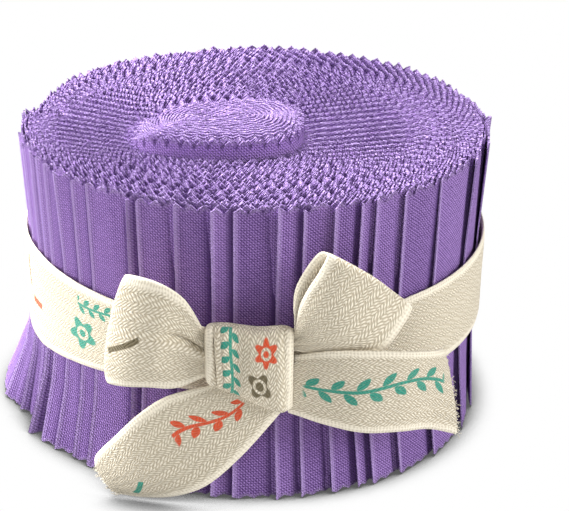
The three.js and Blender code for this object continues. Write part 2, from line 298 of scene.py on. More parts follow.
# Printed marks, each with its own centre and turn on the flat tape, in millimetres
def startMark(name, sizes):
    inputs = [("Place", "NodeSocketVector", None), ("Centre", "NodeSocketVector", (0, 0, 0))]
    inputs += [(label, "NodeSocketFloat", value) for label, value in [("Turn", 0.0), *sizes]]
    tree, given, out = newTree(name, "ShaderNodeTree", inputs, [("Mask", "NodeSocketFloat")])
    moved = vectorCalc("MULTIPLY", vectorCalc("SUBTRACT", given["Place"], given["Centre"]), (1, 1, 0))
    x, y, _ = splitTurned(moved, given["Turn"])
    return tree, given, out, x, y


def makeSprigGroup():
    sizes = [("Length", 20.0), ("Bend", 1.2), ("Stem width", 0.5)]
    sizes += [("Leaf pitch", 3.4), ("Leaf length", 2.6), ("Leaf width", 1.1), ("Leaf slant", 0.75)]
    tree, given, out, x, y = startMark("leafSprig", sizes)
    swing = sine(divide(x, times(given["Length"], 0.2)))
    across = minus(y, times(swing, given["Bend"]))
    within = mapRange(divide(absolute(x), given["Length"]), 0.47, 0.5, 1.0, 0.0)
    stem = mapRange(divide(absolute(across), given["Stem width"]), 0.35, 0.6, 1.0, 0.0)
    onSide = times(signOf(across), 0.25)
    cell = fraction(plus(divide(x, given["Leaf pitch"]), onSide))
    leafX = times(minus(cell, 0.5), given["Leaf pitch"])
    leafY = minus(absolute(across), times(given["Leaf length"], 0.48))
    wide, long, _ = splitTurned(joinXYZ(leafX, leafY, 0.0), given["Leaf slant"])
    longShare = divide(absolute(long), times(given["Leaf length"], 0.5))
    wideShare = divide(absolute(wide), times(given["Leaf width"], 0.5))
    leafEdge = plus(power(longShare, 1.6), power(wideShare, 1.6))
    leaf = mapRange(leafEdge, 0.8, 1.15, 1.0, 0.0)
    link(times(greatest(stem, leaf), within), out["Mask"])
    return tree


def makeFlowerGroup():
    tree, given, out, x, y = startMark("flowerMark", [("Radius", 2.6), ("Petals", 6.0), ("Eye", 0.32)])
    reach = maths("SQRT")(plus(times(x, x), times(y, y)))
    away = divide(reach, given["Radius"])
    around = times(maths("ARCTAN2")(y, x), given["Petals"])
    petalEdge = timesPlus(cosine(around), 0.2, 0.8)
    inside = mapRange(divide(away, petalEdge), 0.9, 1.06, 1.0, 0.0)
    eye = mapRange(absolute(minus(away, given["Eye"])), 0.06, 0.14, 0.0, 1.0)
    link(times(inside, eye), out["Mask"])
    return tree


def makeDashGroup():
    tree, given, out, x, y = startMark("dashMark", [("Length", 6.0), ("Width", 0.9), ("Bend", 0.0)])
    arc = times(times(x, x), given["Bend"])
    across = divide(absolute(minus(y, arc)), given["Width"])
    along = divide(absolute(x), given["Length"])
    inLength = mapRange(along, 0.46, 0.52, 1.0, 0.0)
    link(times(mapRange(across, 0.4, 0.58, 1.0, 0.0), inLength), out["Mask"])
    return tree


plainWeave = makeWeaveGroup()
herringbone = makeHerringboneGroup()
markGroups = {"sprig": makeSprigGroup(), "flower": makeFlowerGroup(), "dash": makeDashGroup()}


# A cloth material, and the place on the flat cloth in millimetres
def startMaterial(name, values, sheenTint):
    material = bpy.data.materials.new(name)
    material.use_nodes = True
    tree = material.node_tree
    shader = tree.nodes["Principled BSDF"]
    shader.inputs["Sheen Weight"].default_value = values["sheen"]
    shader.inputs["Sheen Tint"].default_value = sheenTint
    shader.inputs["Sheen Roughness"].default_value = 0.5
    shader.inputs["Specular IOR Level"].default_value = 0.2
    shader.inputs["Roughness"].default_value = values["roughness"]
    place = vectorCalc("SCALE", addNode(tree, "ShaderNodeUVMap", uv_map="clothUv").outputs[0], 1 / mm)
    return material, tree, shader, place


def raiseCloth(shader, height, distance, strength):
    inputs = {"Height": height, "Distance": distance, "Strength": strength}
    link(addNode(treeOf(height), "ShaderNodeBump", inputs).outputs[0], shader.inputs["Normal"])


# Pairs are heights in millimetres over the table, where an effect starts and where it is full
stripCloth = {
    "colour": (0.445, 0.27, 0.665, 1),
    # the dark end of the weave's threads, and the painted shade in the teeth's valleys and beside strip ends
    "darkWeaveAndGrooveShade": (0.092, 0.041, 0.175, 1),
    # fold: the painted shadow colour in the foot's folds
    "fold": (0.045, 0.02, 0.09, 1),
    "frayAndHighlightColour": (0.63, 0.46, 0.86, 1),
    "threadPitch": 0.52,
    "weaveHeight": 0.24 * mm,
    "grooveShade": 0.84,
    "frayTop": (62.4, 63.4),
    "frayFoot": (0.9, 0.1),
    "frayAndHighlightShare": 0.75,
    "grooveTop": (61.9, 63.3),
    "foldShadeHeights": (25.0, 13.0),
    "roughness": 0.92,
    "sheen": 0.16,
}


def makeStripMaterial(values):
    material, tree, shader, place = startMaterial("pinkedCotton", values, values["frayAndHighlightColour"])
    toothed = meshValue(tree, "toothed")
    onCloth = vectorCalc("ADD", place, joinXYZ(0.0, times(toothed, 1 / mm), 0.0))
    weave = fillGroup(tree, plainWeave, {"Place": onCloth, "Thread pitch": values["threadPitch"]})
    tone = meshValue(tree, "tone")
    height = splitXYZ(place)[1]
    spots = noiseAt(place, 3.0, 3.0)
    # frayed cut edges, lighter by their own fibres and by a painted highlight on the teeth's crests and on
    # each strip's end
    cutEdge = greatest(mapRange(height, *values["frayTop"]), mapRange(height, *values["frayFoot"]))
    frayAndHighlight = times(cutEdge, mapRange(spots, 0.38, 0.62, 0.2, 1.0))
    # painted shade: darker down in the valleys between the teeth and beside a covering strip end, stronger
    # deeper in the roll
    dip = meshValue(tree, "dip")
    dip = times(dip, mapRange(height, *values["grooveTop"]))
    frayAndHighlight = times(frayAndHighlight, mapRange(dip, 0.1, 0.7, 1.0, 0.15))
    endEdge = meshValue(tree, "cutEnd")
    frayAndHighlight = greatest(frayAndHighlight, times(endEdge, 0.8))
    crease = meshValue(tree, "crease")
    hollowShade = meshValue(tree, "hollowShade")
    low = timesPlus(hollowShade, -0.25, 0.42)
    high = timesPlus(hollowShade, -0.55, 1.15)
    # painted shadow in the foot's folds and over the left foot, below the foldShadeHeights
    pleat = meshValue(tree, "pleat")
    pleat = times(pleat, mapRange(height, *values["foldShadeHeights"]))
    # groove: the painted shade mask
    groove = times(greatest(mapRange(dip, low, high), crease), values["grooveShade"])
    shade = timesPlus(weave["Height"], 1.35, timesPlus(weave["Slub"], 0.5, -0.5))
    shade = times(shade, minus(1.0, groove))
    cloth = mixColour(plus(shade, tone, clamp=True), values["darkWeaveAndGrooveShade"], values["colour"])
    colour = mixColour(times(frayAndHighlight, values["frayAndHighlightShare"]), cloth, values["frayAndHighlightColour"])
    colour = mixColour(groove, colour, values["darkWeaveAndGrooveShade"])
    colour = mixColour(pleat, colour, values["fold"])
    link(colour, shader.inputs["Base Color"])
    relief = timesPlus(times(spots, frayAndHighlight), 3.0, weave["Height"])
    raiseCloth(shader, relief, values["weaveHeight"], 1.0)
    return material


tapeCloth = {
    "thread": (0.90, 0.83, 0.685, 1),
    "gap": (0.49, 0.42, 0.305, 1),
    "teal": (0.013, 0.30, 0.22, 1),
    "orange": (0.72, 0.075, 0.02, 1),
    "olive": (0.13, 0.105, 0.055, 1),
    "weaveHeight": 0.22 * mm,
    "roughness": 0.9,
    "sheen": 0.25,
}


# marks are (ink, kind, inputs of that kind's group)
def makeTapeMaterial(name, values, marks):
    material, tree, shader, place = startMaterial(name, values, values["thread"])
    twill = fillGroup(tree, herringbone, {"Place": place})
    lit = mapRange(twill["Height"], 0.0, 0.75)
    shade = timesPlus(minus(twill["Tone"], 0.5), 0.55, lit, clamp=True)
    colour = mixColour(shade, values["gap"], values["thread"])
    hold = mapRange(twill["Height"], -0.1, 0.35, 0.75, 0.98)
    for ink, kind, sizes in marks:
        mask = fillGroup(tree, markGroups[kind], {"Place": place, **sizes})["Mask"]
        colour = mixColour(times(mask, hold), colour, values[ink])
    link(colour, shader.inputs["Base Color"])
    relief = timesPlus(twill["Tone"], 0.3, twill["Height"])
    raiseCloth(shader, relief, values["weaveHeight"], 0.8)
    return material


pinkedCotton = makeStripMaterial(stripCloth)
print("cloth materials are made")


# The way of the rolled bundle, in millimetres. Turns are degrees clockwise from startAngle, layers are
# counted outwards from the seam, and a pair is a start and a span: of layers, or an angle and its spread
roll = {
    "layers": 40,
    "layersInPiece": 10,
    "stripWidth": 63.5,
    "stripLength": 1118,
    "topRadius": 49.7,
    "clothThickness": 0.31,
    "pinkingPitch": 2.9,
    "pinkingDepth": 1.5,
    "ridgeSpan": 30,
    "tuftLayers": 3,
    "seamCentre": (-9.35, -10.2),
    "seamHalf": (7.4, 0.45),
    "holeHalf": 0.75,
    "coreCentre": (-7.7, -10.4),
    "coreHalf": (18.1, 14.2),
    "coreSquareness": 2.6,
    "waistSqueeze": 1.2,
    "rows": 6,
    "rowCrowding": 1.67,
    "looseRim": (86, 10),
    "looseCore": (34, 6),
    "ownTeeth": (90, 12),
    "raggedness": 0.12,
    "partedAngle": 196,
    "partedSpread": 14,
    "partedGap": 0.3,
    "partedLayers": 5,
    "notchDepth": 2.0,
    "notchEnds": 6,
    "grooveWidth": 0.8,
    "grooveDepth": 0.5,
    "wideGrooves": (195, 24),
    "footShade": (197, 12),
    "ruffle": 0.36,
    "coreTuftRise": 0.34,
    "coreTone": 0.2,
    "coreEdgeTone": 0.25,
    "endGap": 0.35,
    "crossingRise": 0.25,
    "rimIndexAtBack": 140,
    "startAngle": 110,
    "ridgeTurns": (-70, 105, 290, 465, 650, 825, 1010),
    "seed": 11,
}

# Height of the strips' upper edge over the strip's width, by turns
riseTurns = (-90, 0, 60, 248, 278)
riseHeights = (0.6, 2.0, 3.5, 3.5, 0.0)

# How far the foot of the outermost layer stands out beyond the top, by angle
footFlares = {
    0: -0.1, 30: 2.0, 60: 3.2, 120: 3.4, 150: 4.6, 165: 6.4, 175: 7.6, 183: 8.0, 189: 7.7, 195: 5.6, 201: 3.7,
    205: 3.4, 208.5: 5.8, 212: 4.7, 218: 4.4, 222: 3.6, 233: 3.6, 248: 3.3, 300: 3.2, 330: 2.05, 360: -0.1,
}

# Folds in the outer layers' foot: angle, half width in degrees and depth; the material also paints shadow
# into them
footFolds = [
    (189, 0.7, 0.5), (192.8, 0.6, 0.6), (196.4, 0.7, 0.9), (200.2, 0.6, 0.9),
    (203.9, 1.2, 2.1), (207.4, 0.5, 0.8), (211.7, 1.25, 2.4),
]

# How far the rim stands in, by angle: a few strips end together at the left
notchAngles = (0, 125, 150, 167, 174, 176.5, 185, 195, 360)
notchShares = (0, 0.05, 0.25, 0.9, 1.1, -0.4, -0.25, 0, 0)

# Where each strip ends on the wall, and how far its end stands over the next one
frontEnds = {
    190: 0.3, 198.3: 0.7, 204.8: 1.4, 208.6: 1.0, 213.2: 1.7, 218.4: 0.7, 224.4: 0.7, 229.6: 0.8, 240.8: 0.7,
    243.6: 1.0, 252.6: 0.8, 261: 0.8, 266: 0.9, 275.8: 1.0, 281.5: 1.0, 288.4: 1.1, 294.9: 0.9, 298.8: 0.9,
    306.7: 0.8, 318.5: 0.8,
}
backEnds = {"count": 20, "step": 0.8, "drift": 1.3, "last": 533, "notchFirst": 534.2, "notchPitch": 0.5}


def smooth(share):
    share = np.clip(share, 0, 1)
    return share * share * (3 - 2 * share)


def bump(angle, centre, spread):
    away = (np.asarray(angle) - centre + 180) % 360 - 180
    return np.exp(-((away / spread) ** 2))


def runningSum(steps):
    return np.concatenate([[0], np.cumsum(steps)])


def around(angle):
    return np.stack([np.cos(np.radians(angle)), np.sin(np.radians(angle))], -1)


def corePoint(angle):
    direction = around(angle)
    share = np.abs(direction / roll["coreHalf"]) ** roll["coreSquareness"]
    size = share.sum(-1, keepdims=True) ** (-1 / roll["coreSquareness"])
    return roll["coreCentre"] + size * direction


def seamPoint(angle):
    c, s = around(angle).T
    a, b = roll["seamHalf"]
    half = b + roll["holeHalf"] * np.clip(c, 0, 1) ** 2
    return roll["seamCentre"] + np.stack([a * c, 0.19 * a * c + half * s], -1)


# The ends in the order in which they come clockwise from startAngle: turn and step of each
def stripEnds():
    ends = dict(frontEnds)
    last = max(ends)
    spread = backEnds["count"] - roll["notchEnds"]
    spacing = (backEnds["last"] - last) / (spread + 1)
    for k in range(1, spread + 1):
        ends[last + k * spacing + backEnds["drift"] * np.sin(2.4 * k)] = backEnds["step"]
    for k in range(roll["notchEnds"]):
        ends[backEnds["notchFirst"] + k * backEnds["notchPitch"]] = backEnds["step"] / 2
    ordered = sorted(((roll["startAngle"] - angle) % 360, step) for angle, step in ends.items())
    turns, steps = (np.array(column) for column in zip(*ordered))
    return np.concatenate([turns - 360, turns, turns + 360]), np.concatenate([steps] * 3)


# A few sine waves of random size and length along the cloth
def waves(random, stops, count, smallest, lengths):
    return sum(
        random.uniform(smallest, 1) * np.sin(stops / random.uniform(*lengths) + random.uniform(0, 6.3))
        for _ in range(count)
    )


# One layer's line over the table, then what the cloth does at each place along it: shares and sizes in mm
def makeLayer(k, random):
    layers = roll["layers"]
    endTurns, endSteps = stripEnds()
    counts = np.arange(1 - layers, 2 * layers + 1)
    order = layers // 2 - k if k < layers // 2 else layers + layers // 2 - k
    lastTurn = 360 * (3 if k < layers // 2 else 2) + endTurns[counts == order][0]
    firstTurn = -90 + 90 * np.interp(1 - k / layers, smooth(np.linspace(0, 1, 200)), np.linspace(0, 1, 200))
    turn = np.arange(firstTurn, lastTurn, 0.25)
    angle = roll["startAngle"] - turn
    local = (turn + 90) % 360 - 90
    rising = smooth((local + 90) / 90)
    index = k + layers * (np.floor((turn + 90) / 360) - 1 + rising)
    passed = np.interp(local % 360, endTurns, counts)
    rimIndex = roll["rimIndexAtBack"] - passed + np.where(local < 0, layers * rising, 0)

    inner, core = seamPoint(angle), corePoint(angle)
    notch = roll["notchDepth"] * np.interp(angle % 360, notchAngles, notchShares)
    rim = (roll["topRadius"] - roll["clothThickness"] / 2 - notch)[:, None] * around(angle)
    inCore = np.clip(index / layers, 0, 1)[:, None]
    beyond = np.clip((index - layers) / (rimIndex - layers), 0, 1)[:, None]
    place = inner + (core - inner) * inCore + (rim - core) * beyond
    spacing = np.linalg.norm(rim - core, axis=1) / (rimIndex - layers)
    depth = (rimIndex - index) * spacing
    room = np.where(index < layers, np.linalg.norm(core - inner, axis=1) / layers, spacing)

    # teeth line up over the layers at the ridge turns, and drift apart between them
    along = runningSum(np.linalg.norm(np.diff(place, axis=0), axis=1))
    ridges = [t for t in roll["ridgeTurns"] if firstTurn < t < lastTurn]
    ridgeStops = np.interp(ridges, turn, along)
    pitch = roll["pinkingPitch"]
    teeth = runningSum(np.maximum(np.round(np.diff(ridgeStops) / pitch), 1))
    beyondEnds = 500
    knots = np.concatenate([[ridgeStops[0] - beyondEnds], ridgeStops, [ridgeStops[-1] + beyondEnds]])
    teethBeyond = beyondEnds / pitch
    knotTeeth = np.concatenate([[-teethBeyond], teeth, [teeth[-1] + teethBeyond]])
    fromIndex = lambda name: smooth((index - roll[name][0]) / roll[name][1])
    nearest = np.abs(turn[:, None] - np.array(roll["ridgeTurns"])[None, :]).min(1)
    loose = smooth((nearest - roll["ridgeSpan"]) / 30)
    loose = np.maximum(loose, fromIndex("looseRim"))
    loose = np.maximum(loose, 1 - fromIndex("looseCore"))
    shared = np.random.default_rng(roll["seed"] + k // roll["tuftLayers"])
    slip = shared.uniform(-0.75, 0.75, len(roll["ridgeTurns"]))
    own = shared.uniform(0, 1) + random.uniform(-0.1, 0.1)
    phase = np.interp(along, knots, knotTeeth) + own * fromIndex("ownTeeth")
    phase = phase + loose * np.interp(turn, np.array(roll["ridgeTurns"]) + 90, slip)

    # columns of points stand at every quarter of a tooth, so that all the teeth are sharp
    quarters = np.arange(np.ceil(phase[0] * 4), phase[-1] * 4) / 4
    stops = np.interp(quarters, phase, along)
    stops = np.concatenate([[0], stops[(stops > 0.2) & (stops < along[-1] - 0.2)], [along[-1]]])
    take = lambda values: np.interp(stops, along, values)
    x, y, turn, depth, spacing, index, notch, phase, loose, room = (
        take(v) for v in (place[:, 0], place[:, 1], turn, depth, spacing, index, notch, phase, loose, room))
    angle = roll["startAngle"] - turn
    tangent = np.gradient(np.stack([x, y], -1), axis=0)
    tangent /= np.linalg.norm(tangent, axis=1, keepdims=True)
    outward = np.stack([-tangent[:, 1], tangent[:, 0]], -1)

    # the wall: a strip's end stands over the next one, with a groove where it ends
    endTurn = lastTurn - turn
    at = np.searchsorted(endTurns, endTurns[counts == order][0] - 1e-6)
    gaps = endTurns[at] - endTurns[[at - 1, at - 2, at - 6]]
    before = spacing[-1] - endSteps[at - 1] / 2
    lift = np.interp(-endTurn, [-gaps[2], -gaps[1], -gaps[0], 0], [0, -0.15, before, endSteps[at] / 2])
    lift += roll["endGap"] * smooth(1 - (stops[-1] - stops) / 1.5)
    # cutEnd: the strip's end, which the material lightens: frayed fibres and a painted highlight where light
    # catches the end
    cutEnd = smooth(1 - (stops[-1] - stops) / 1.1)
    lift[-endTurn < -gaps[2]] = 0
    grooveWidth = roll["grooveWidth"] * (1 + 0.9 * bump(angle, *roll["wideGrooves"]))
    fromCover = np.radians(gaps[0] - endTurn) * roll["topRadius"] / grooveWidth
    # crease also marks where the material paints shade beside the covering end
    crease = np.exp(-(np.where(fromCover > 0, fromCover, 0.5 * fromCover) ** 2)) * (stops[-1] - stops > 1.2)
    lift -= roll["grooveDepth"] * random.uniform(0.4, 1.3) * crease
    fill = np.clip(room * 1.03 - roll["clothThickness"], 0, 0.2) / 2 * smooth((depth - 0.4) / 0.6)
    parted = bump(angle, roll["partedAngle"], roll["partedSpread"])
    outer = smooth((roll["partedLayers"] * 0.33 - depth) / 0.3 + 0.5)
    lift += roll["partedGap"] * parted * outer * (index > 60)
    fade = np.exp(-depth / 10)
    flare = np.interp(angle % 360, *zip(*footFlares.items())) * fade
    folds = sum(fold * bump(angle, centre, spread) for centre, spread, fold in footFolds)
    flare -= folds * fade
    # pleat: painted shadow in the foot's folds, and painted shade over the whole left foot
    pleat = np.clip(0.5 * folds + 0.3 * bump(angle, *roll["footShade"]), 0, 0.95)

    # the upper edge
    rise = np.interp(turn, riseTurns, riseHeights)
    slow = waves(random, stops, 4, 0.4, (5, 16))
    inside = 1 - smooth((index - 30) / 10)
    nearRim = 1 - smooth((depth - 0.6) / 2.2)
    tuftRise = roll["coreTuftRise"] if k % roll["tuftLayers"] == 0 else -0.05
    ownRise = random.uniform(-0.05, 0.05) + tuftRise * inside
    quick = waves(random, stops, 3, 0.5, (2, 5))
    rise = rise + ownRise + slow * (0.02 + 0.10 * nearRim) - 0.1 * (1 - inside)
    rise -= roll["ruffle"] * nearRim * np.abs(quick)
    rise -= roll["crossingRise"] * smooth(1 - np.abs(index - layers) / 6) * (turn > 300)
    pinking = (1 - 0.2 * nearRim + 0.2 * (1 - loose)) * (1 - 0.85 * inside)
    curl = 0.18 * nearRim * (slow + quick)
    tone = random.uniform(-0.12, 0.1) + 0.02 * slow + roll["coreTone"] * inside * (turn < 300)
    tone += roll["coreEdgeTone"] * smooth(2 - np.abs(index - layers) / 2)
    ragged = (0.35 + 0.65 * loose) * (1 - 0.6 * inside)
    # how strongly the material paints shade into the teeth's valleys
    hollowShade = smooth((depth - 1) / 1.5) * (1 - 0.55 * loose) * smooth((index - 42) / 4)
    squeeze = notch - roll["waistSqueeze"] * fade
    shares = {"phase": phase, "pinking": pinking, "tone": tone, "cutEnd": cutEnd}
    shares |= {"crease": crease, "ragged": ragged, "hollowShade": hollowShade, "pleat": pleat}
    sizes = {"lift": lift, "squeeze": squeeze, "flare": flare, "rise": rise, "curl": curl, "fill": fill}
    sizes["along"] = stops
    return np.stack([x, y], -1), outward, shares, sizes


# The strips' cloth: a thin closed section runs along the line, and the teeth are cut into both edges
def makeStripTree():
    inputs = [
        ("Line", "NodeSocketGeometry", None),
        ("Strip width", "NodeSocketFloat", 63.5 * mm),
        ("Cloth thickness", "NodeSocketFloat", 0.31 * mm),
        ("Rows", "NodeSocketInt", 6),
        ("Row crowding", "NodeSocketFloat", 1.67),
        ("Pinking depth", "NodeSocketFloat", 1.5 * mm),
        ("Raggedness", "NodeSocketFloat", 0.12 * mm),
        ("Seed", "NodeSocketInt", 3),
        ("Cloth", "NodeSocketMaterial", None),
    ]
    tree, given, out = newTree("pinkedStrip", "GeometryNodeTree", inputs, [("Cloth", "NodeSocketGeometry")])

    def profileCurve(points, share):
        node = addNode(tree, "ShaderNodeFloatCurve", {"Value": share})
        curve = node.mapping.curves[0]
        for number, (across, value) in enumerate(points):
            point = curve.points[number] if number < 2 else curve.points.new(across, value)
            point.location = (across, value)
        node.mapping.update()
        return node.outputs[0]

    def keep(cloth, name, value, kind="FLOAT", domain="POINT"):
        inputs = {"Name": name, "Value": value}
        return changed("StoreNamedAttribute", cloth, inputs, data_type=kind, domain=domain)

    size = {"Size X": given["Cloth thickness"], "Size Y": given["Strip width"]}
    size |= {"Vertices X": 2, "Vertices Y": given["Rows"]}
    section = addNode(tree, "GeometryNodeMeshGrid", size).outputs["Mesh"]
    faceCount = addNode(tree, "GeometryNodeInputMeshEdgeNeighbors").outputs[0]
    outline = addNode(tree, "FunctionNodeCompare", {2: faceCount, 3: 1}, data_type="INT", operation="EQUAL")
    section = changed("MeshToCurve", section, {"Selection": outline.outputs[0]})
    x, y, _ = splitXYZ(addNode(tree, "GeometryNodeInputPosition").outputs[0])
    share = plus(divide(y, given["Strip width"]), 0.5, clamp=True)
    height = times(power(share, given["Row crowding"]), given["Strip width"])
    section = changed("SetPosition", section, {"Position": joinXYZ(x, height, 0.0)})

    line = changed("SetCurveNormal", changed("MeshToCurve", given["Line"]), mode="Z_UP")
    cloth = changed("CurveToMesh", line, {"Profile Curve": section, "Fill Caps": True})

    position = addNode(tree, "GeometryNodeInputPosition").outputs[0]
    z = absolute(splitXYZ(position)[2])
    cloth = keep(cloth, "clothUv", joinXYZ(stored(tree, "along"), z, 0.0), "FLOAT2", "CORNER")
    share = divide(z, given["Strip width"])
    atTop = maths("GREATER_THAN")(share, 0.999)
    atFoot = maths("LESS_THAN")(share, 0.001)
    waist = profileCurve([(0, 1), (1, 0), (0.49, 1), (0.66, 0.75), (0.8, 0.08)], share)
    foot = profileCurve([(0, 1), (1, 0), (0.05, 0.84), (0.126, 0.56), (0.22, 0.26), (0.315, 0)], share)
    pressed = profileCurve([(0, 1), (1, 1), (0.2, 1), (0.31, 0.45), (0.64, 0.45), (0.78, 1)], share)
    push = timesPlus(stored(tree, "squeeze"), waist, times(stored(tree, "flare"), foot))
    push = timesPlus(stored(tree, "lift"), pressed, push)
    push = timesPlus(stored(tree, "curl"), atTop, push)
    outward = stored(tree, "outward", "FLOAT_VECTOR")
    fromMiddle = vectorCalc("SUBTRACT", position, stored(tree, "middle", "FLOAT_VECTOR"))
    facing = vectorCalc("DOT_PRODUCT", fromMiddle, outward, "Value")
    push = timesPlus(stored(tree, "fill"), signOf(facing), push)
    tooth = absolute(timesPlus(fraction(stored(tree, "phase")), 2.0, -1.0))
    ragged = {"Min": (-1, -1, -1), "Max": (1, 1, 1), "Seed": given["Seed"]}
    ragged = addNode(tree, "FunctionNodeRandomValue", ragged, data_type="FLOAT_VECTOR").outputs[0]
    raggedness = times(stored(tree, "ragged"), given["Raggedness"])
    ragX, _, ragZ = splitXYZ(vectorCalc("SCALE", ragged, raggedness))
    dip = times(tooth, stored(tree, "pinking"))
    # dip: the tooth's cut at the top edge, which the material turns into painted shade in the valleys
    cloth = keep(cloth, "dip", times(dip, atTop))
    cut = times(dip, given["Pinking depth"])
    toothed = minus(times(times(cut, 0.6), atFoot), times(cut, atTop))
    cloth = keep(cloth, "toothed", toothed)
    raised = timesPlus(stored(tree, "rise"), share, toothed)
    raised = timesPlus(ragZ, atTop, raised)
    push = timesPlus(ragX, times(atTop, 0.6), push)
    flat = vectorCalc("MULTIPLY", position, (1, 1, 0))
    moved = vectorCalc("ADD", flat, vectorCalc("SCALE", outward, push))
    moved = vectorCalc("ADD", moved, joinXYZ(0.0, 0.0, plus(z, raised)))
    cloth = changed("SetPosition", cloth, {"Position": moved})
    cloth = changed("SetShadeSmooth", cloth, {"Shade Smooth": True}, domain="FACE")
    edgeAngle = addNode(tree, "GeometryNodeInputMeshEdgeAngle").outputs[0]
    sharp = {"Selection": maths("GREATER_THAN")(edgeAngle, radians(35)), "Shade Smooth": False}
    cloth = changed("SetShadeSmooth", cloth, sharp, domain="EDGE")
    cloth = changed("RealizeInstances", cloth)
    link(changed("SetMaterial", cloth, {"Material": given["Cloth"]}), out["Cloth"])
    return tree


# Runs a Geometry Nodes tree on a mesh and keeps the result as a plain object
def applyTree(name, mesh, tree, inputs):
    source = bpy.data.objects.new(name + "Source", mesh)
    scene.collection.objects.link(source)
    modifier = source.modifiers.new("nodes", "NODES")
    modifier.node_group = tree
    sockets = {item.name: item.identifier for item in tree.interface.items_tree if item.in_out == "INPUT"}
    for label, value in inputs.items():
        modifier[sockets[label]] = value
    evaluated = source.evaluated_get(bpy.context.evaluated_depsgraph_get())
    made = bpy.data.meshes.new_from_object(evaluated)
    source.modifiers.remove(modifier)
    bpy.data.objects.remove(source)
    made.name = name
    piece = bpy.data.objects.new(name, made)
    scene.collection.objects.link(piece)
    return piece


def turnOutwards(mesh):
    mesh.calc_loop_triangles()
    points = np.empty(len(mesh.vertices) * 3)
    mesh.vertices.foreach_get("co", points)
    corners = np.empty(len(mesh.loop_triangles) * 3, np.int32)
    mesh.loop_triangles.foreach_get("vertices", corners)
    a, b, c = points.reshape(-1, 3)[corners.reshape(-1, 3)].transpose(1, 0, 2)
    if np.einsum("ij,ij->i", a, np.cross(b, c)).sum() < 0:
        mesh.flip_normals()


def storeValues(mesh, name, kind, values):
    attribute = mesh.attributes.new(name, kind, "POINT")
    field = "vector" if kind == "FLOAT_VECTOR" else "value"
    attribute.data.foreach_set(field, np.ascontiguousarray(values, np.float32).ravel())


def makeStrips():
    tree = makeStripTree()
    random = np.random.default_rng(roll["seed"])
    perPiece = roll["layersInPiece"]
    for number in range(roll["layers"] // perPiece):
        made = [makeLayer(k, random) for k in range(number * perPiece, (number + 1) * perPiece)]
        places, outwards, shares, sizes = zip(*made)
        counts = [len(layer) for layer in places]
        starts = np.cumsum([0] + counts[:-1])
        edges = [(s + k, s + k + 1) for s, n in zip(starts.tolist(), counts) for k in range(n - 1)]
        flat = np.concatenate(places) * mm
        level = np.zeros((len(flat), 1))
        middle = np.hstack([flat, level])
        line = bpy.data.meshes.new("stripLine")
        line.from_pydata(middle.tolist(), edges, [])
        storeValues(line, "outward", "FLOAT_VECTOR", np.hstack([np.concatenate(outwards), level]))
        storeValues(line, "middle", "FLOAT_VECTOR", middle)
        for layers, unit in ((shares, 1), (sizes, mm)):
            for name in layers[0]:
                storeValues(line, name, "FLOAT", np.concatenate([layer[name] for layer in layers]) * unit)
        piece = applyTree(f"strips_{number + 1}", line, tree, {
            "Strip width": roll["stripWidth"] * mm,
            "Cloth thickness": roll["clothThickness"] * mm,
            "Rows": roll["rows"],
            "Row crowding": roll["rowCrowding"],
            "Pinking depth": roll["pinkingDepth"] * mm,
            "Raggedness": roll["raggedness"] * mm,
            "Seed": 3 + number,
            "Cloth": pinkedCotton,
        })
        turnOutwards(piece.data)
        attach(piece, "root")
        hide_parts("strip_roll")
        length = sum(layer["along"][-1] for layer in sizes) * mm
        triangles = sum(len(face.vertices) - 2 for face in piece.data.polygons)
        print(piece.name, "has", triangles, "triangles and", length, "m of cloth")


makeStrips()
print("strips are wound")


# The wall as the tape meets it, in millimetres. Flare and tuck are angle, spread and reach
wallValues = {
    "heights": (0, 3, 8, 14, 20, 31, 42, 51, 63.5),
    "radii": (51.8, 51.2, 50.3, 49.3, 48.5, 48.5, 48.8, 49.6, 49.7),
    "flareShares": (1, 0.86, 0.58, 0.27, 0, 0, 0, 0, 0),
    "flare": (190, 26, 4.4),
    "tuck": (0, 30, -3.4),
}


def wallRadius(angle, z):
    both = (wallValues["flare"], wallValues["tuck"])
    reach = sum(size * bump(angle, centre, spread) for centre, spread, size in both)
    radius = np.interp(z, wallValues["heights"], wallValues["radii"])
    return radius + np.interp(z, wallValues["heights"], wallValues["flareShares"]) * reach


# A smooth line through all the points, at places from 0 to 1
def lineThrough(points, places):
    points = np.array(points, float)
    padded = np.vstack([2 * points[0] - points[1], points, 2 * points[-1] - points[-2]])
    spot = np.clip(places, 0, 1) * (len(points) - 1)
    start = np.minimum(spot.astype(int), len(points) - 2)
    t = (spot - start)[:, None]
    p0, p1, p2, p3 = (padded[start + k] for k in range(4))
    spans = (p1 - p0, p2 - p1, p3 - p2)
    d0, d1, d2 = (np.maximum(np.sqrt(np.linalg.norm(span, axis=1)), 1e-4)[:, None] for span in spans)
    t1 = ((p1 - p0) / d0 - (p2 - p0) / (d0 + d1) + (p2 - p1) / d1) * d1
    t2 = ((p2 - p1) / d1 - (p3 - p1) / (d1 + d2) + (p3 - p2) / d2) * d1
    return p1 + t1 * t + (-3 * p1 + 3 * p2 - 2 * t1 - t2) * t**2 + (2 * p1 - 2 * p2 + t1 + t2) * t**3


# The tape's middle surface from rows of its lower edge, middle and upper edge
def tapeSurface(rows, alongCount, acrossCount):
    along = np.linspace(0, 1, alongCount)
    across = np.linspace(0, 1, acrossCount)[None, :, None]
    low, mid, high = (lineThrough([row[k] for row in rows], along)[:, None, :] for k in range(3))
    fromLow, fromHigh = (1 - across) * (1 - 2 * across), across * (2 * across - 1)
    return low * fromLow + mid * 4 * across * (1 - across) + high * fromHigh


def surfaceNormals(surface, closed=False):
    if closed:
        forward = np.roll(surface, -1, 0) - np.roll(surface, 1, 0)
    else:
        forward = np.gradient(surface, axis=0)
    normal = np.cross(forward, np.gradient(surface, axis=1))
    return normal / np.linalg.norm(normal, axis=2, keepdims=True)


